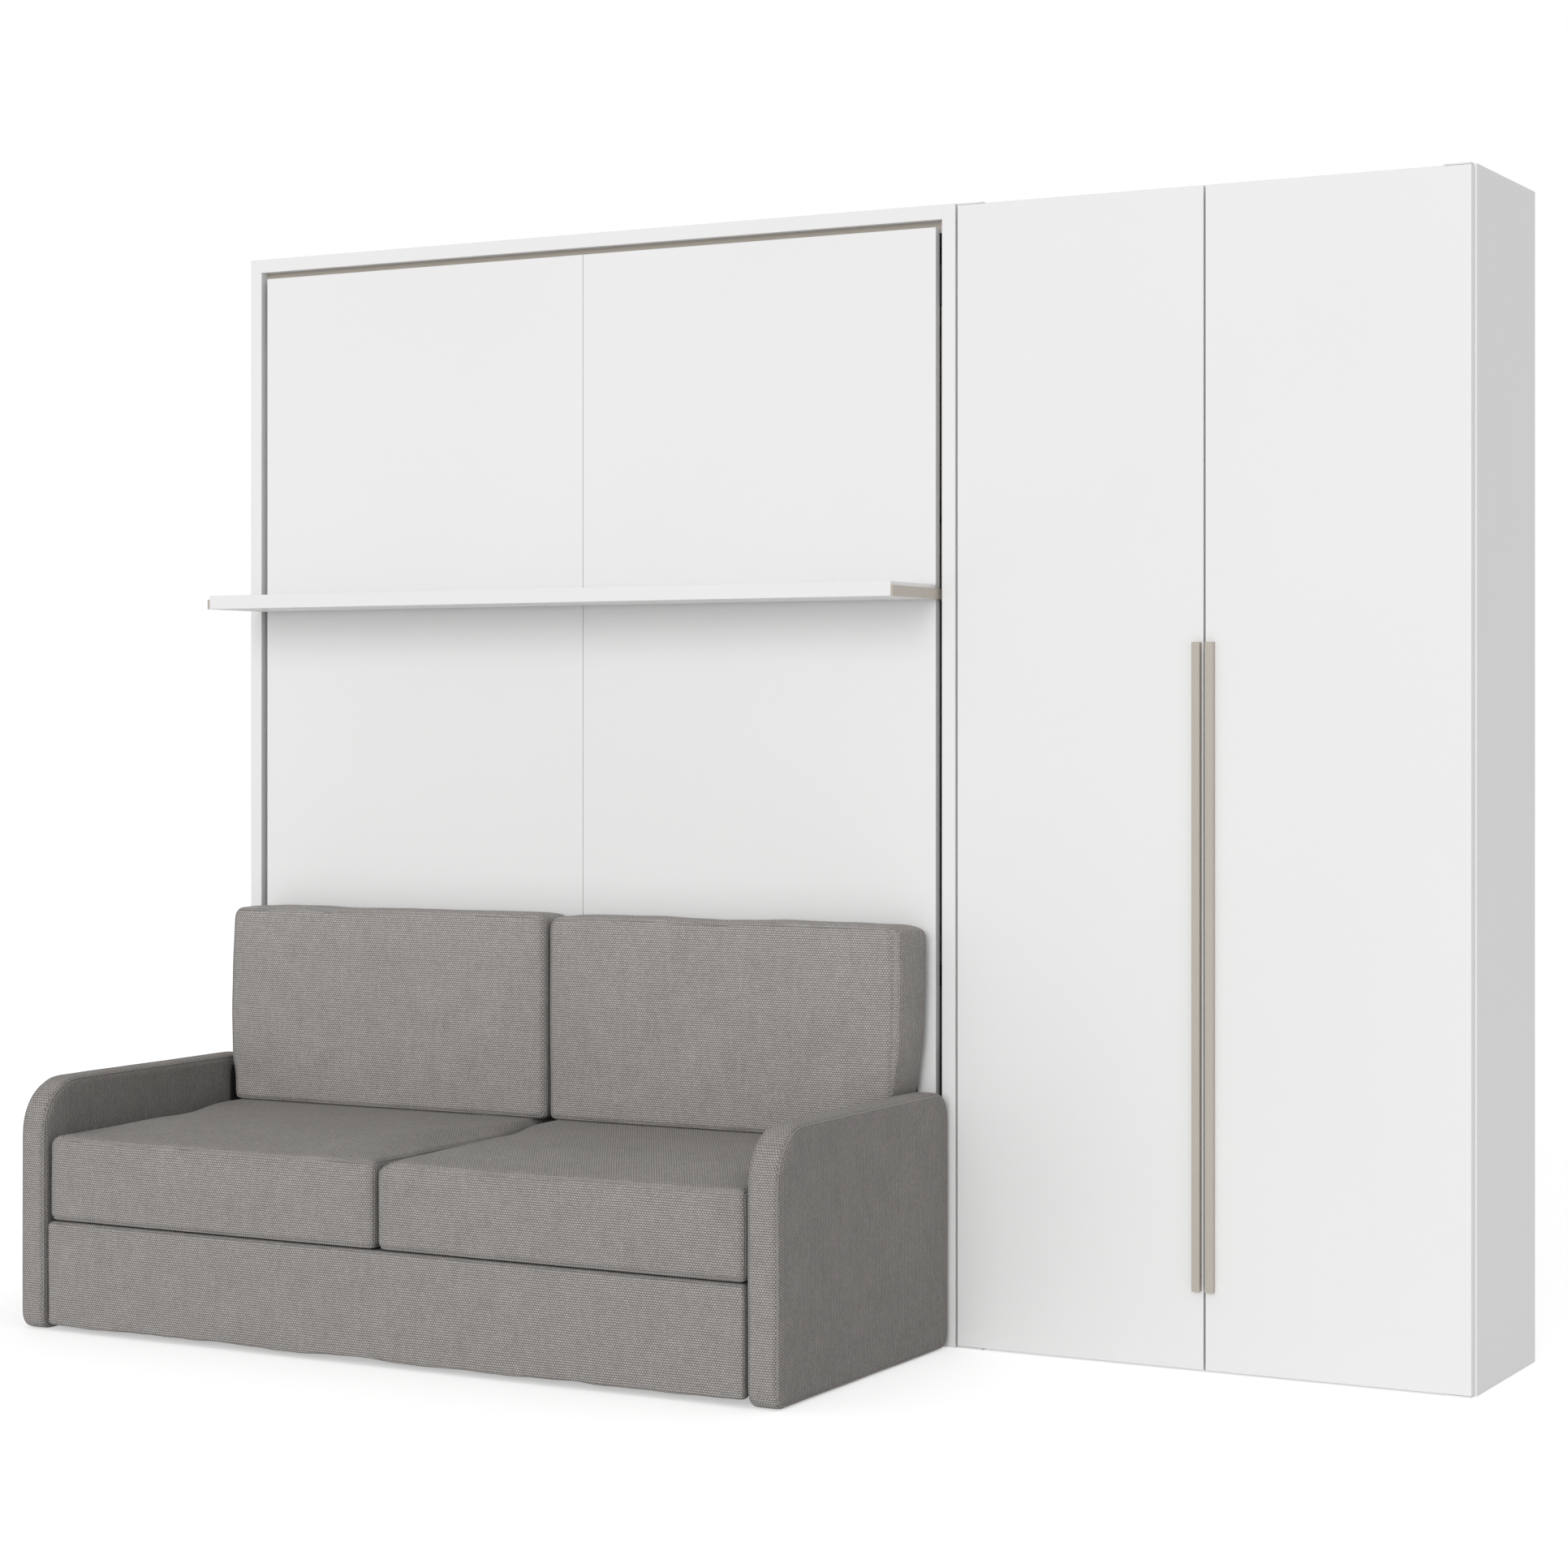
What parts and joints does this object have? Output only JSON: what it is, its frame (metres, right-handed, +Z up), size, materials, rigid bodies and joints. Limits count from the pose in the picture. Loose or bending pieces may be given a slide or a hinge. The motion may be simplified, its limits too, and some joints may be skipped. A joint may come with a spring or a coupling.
{
  "type": "wall bed with sofa and wardrobe",
  "caption": "Vertical fold-down wall bed with a self-levelling shelf that becomes its leg, an upholstered sofa in front and a hinged-door wardrobe beside it.",
  "frame": {"origin": "bottom centre of the whole object, on the floor", "axes": "+X along the wall towards the wardrobe, -Y into the room, +Z up"},
  "size_m": [2.724, 1.08, 2.18],
  "materials": {
    "white_board": "matt white lacquered board",
    "inner_board": "white melamine board",
    "taupe_metal": "matt taupe powder coat",
    "sofa_fabric": "ribbed grey upholstery weave",
    "coated_steel": "dark powder coated steel",
    "bright_steel": "zinc plated steel",
    "rail_chrome": "polished",
    "strut_paint": "black gas strut cylinder",
    "slat_wood": "birch plywood",
    "moulded_plastic": "black moulded plastic",
    "mattress_fabric": "quilted knitted ticking",
    "strap_webbing": "woven webbing"
  },
  "bodies": {
    "cabinet": {"cabinet_side_left": "white_board", "cabinet_side_right": "white_board", "cabinet_top_panel": "white_board", "top_strip": "taupe_metal", "cabinet_back_panel": "inner_board", "wall_rail_upper": "inner_board", "wall_rail_lower": "inner_board", "base_rail": "inner_board", "mechanism_plates": "coated_steel", "strut_anchors": "coated_steel", "pivot_supports": "coated_steel", "pivot_pins": "bright_steel", "support_screws": "bright_steel", "wardrobe_side_left": "white_board", "wardrobe_side_right": "white_board", "wardrobe_top_panel": "white_board", "wardrobe_bottom_panel": "white_board", "wardrobe_back_panel": "inner_board", "wardrobe_wall_rail": "inner_board", "wardrobe_shelves": "white_board", "shelf_supports": "bright_steel", "hanging_rail": "rail_chrome", "rail_sockets": "rail_chrome", "door_pivots": "coated_steel", "sofa_arm_left": "sofa_fabric", "sofa_arm_right": "sofa_fabric", "sofa_front_skirt": "sofa_fabric", "seat_cushion_left": "sofa_fabric", "seat_cushion_right": "sofa_fabric", "seat_deck": "slat_wood", "sofa_rails": "slat_wood"},
    "bed": {"bed_front_panel_left": "white_board", "bed_front_panel_right": "white_board", "bed_brackets": "coated_steel", "pivot_bushes": "moulded_plastic", "bracket_bolts": "bright_steel", "bed_side_rails": "coated_steel", "bed_end_rails": "coated_steel", "bed_centre_beam": "coated_steel", "slats": "slat_wood", "slat_holders": "moulded_plastic", "mattress": "mattress_fabric", "mattress_straps": "strap_webbing", "lower_end_board": "inner_board", "shelf_pivot_bolts": "bright_steel", "back_cushion_left": "sofa_fabric", "back_cushion_right": "sofa_fabric"},
    "shelf": {"shelf_board": "white_board", "shelf_arm_left": "taupe_metal", "shelf_arm_right": "taupe_metal"},
    "levelling_rod_left": {"levelling_rod_left": "coated_steel"},
    "levelling_rod_right": {"levelling_rod_right": "coated_steel"},
    "strut_cylinder_left": {"strut_cylinder_left": "strut_paint"},
    "strut_cylinder_right": {"strut_cylinder_right": "strut_paint"},
    "strut_rod_left": {"strut_rod_left": "bright_steel"},
    "strut_rod_right": {"strut_rod_right": "bright_steel"},
    "wardrobe_door_left": {"wardrobe_door_left": "white_board", "door_handle_left": "taupe_metal"},
    "wardrobe_door_right": {"wardrobe_door_right": "white_board", "door_handle_right": "taupe_metal"}
  },
  "joints": [
    {"name": "bed_tilt", "type": "hinge", "parent": "cabinet", "child": "bed", "pos_m": [-0.483, 0.075, 0.445], "axis": [1, 0, 0], "range_deg": [0, 90]},
    {"name": "shelf_level", "type": "hinge", "parent": "bed", "child": "shelf", "pos_m": [-0.483, 0.19, 1.984], "axis": [1, 0, 0], "range_deg": [-90, 0]},
    {"name": "levelling_rod_left_swing", "type": "hinge", "parent": "cabinet", "child": "levelling_rod_left", "pos_m": [-1.2854, 0.175, 0.505], "axis": [1, 0, 0], "range_deg": [0, 90]},
    {"name": "strut_left_swing", "type": "hinge", "parent": "cabinet", "child": "strut_cylinder_left", "pos_m": [-1.265, 0.26, 1.05], "axis": [1, 0, 0], "range_deg": [-6.2, 0]},
    {"name": "strut_left_stroke", "type": "slide", "parent": "strut_cylinder_left", "child": "strut_rod_left", "axis": [0, 0.0274, 0.9996], "range_m": [0, 0.2864]},
    {"name": "levelling_rod_right_swing", "type": "hinge", "parent": "cabinet", "child": "levelling_rod_right", "pos_m": [0.3194, 0.175, 0.505], "axis": [1, 0, 0], "range_deg": [0, 90]},
    {"name": "strut_right_swing", "type": "hinge", "parent": "cabinet", "child": "strut_cylinder_right", "pos_m": [0.299, 0.26, 1.05], "axis": [1, 0, 0], "range_deg": [-6.2, 0]},
    {"name": "strut_right_stroke", "type": "slide", "parent": "strut_cylinder_right", "child": "strut_rod_right", "axis": [0, 0.0274, 0.9996], "range_m": [0, 0.2864]},
    {"name": "wardrobe_door_left_swing", "type": "hinge", "parent": "cabinet", "child": "wardrobe_door_left", "pos_m": [0.361, 0.158, 1.09], "axis": [0, 0, -1], "range_deg": [0, 88]},
    {"name": "wardrobe_door_right_swing", "type": "hinge", "parent": "cabinet", "child": "wardrobe_door_right", "pos_m": [1.353, 0.158, 1.09], "axis": [0, 0, 1], "range_deg": [0, 110]}
  ],
  "couplings": [
    {"joint": "shelf_level", "follows": "bed_tilt", "ratio": -1},
    {"joint": "levelling_rod_left_swing", "follows": "bed_tilt", "ratio": 1},
    {"joint": "strut_left_swing", "follows": "bed_tilt", "ratio": -0.068842},
    {"joint": "strut_left_stroke", "follows": "bed_tilt", "m_per_rad": 0.1822},
    {"joint": "levelling_rod_right_swing", "follows": "bed_tilt", "ratio": 1},
    {"joint": "strut_right_swing", "follows": "bed_tilt", "ratio": -0.068842},
    {"joint": "strut_right_stroke", "follows": "bed_tilt", "m_per_rad": 0.1822}
  ]
}
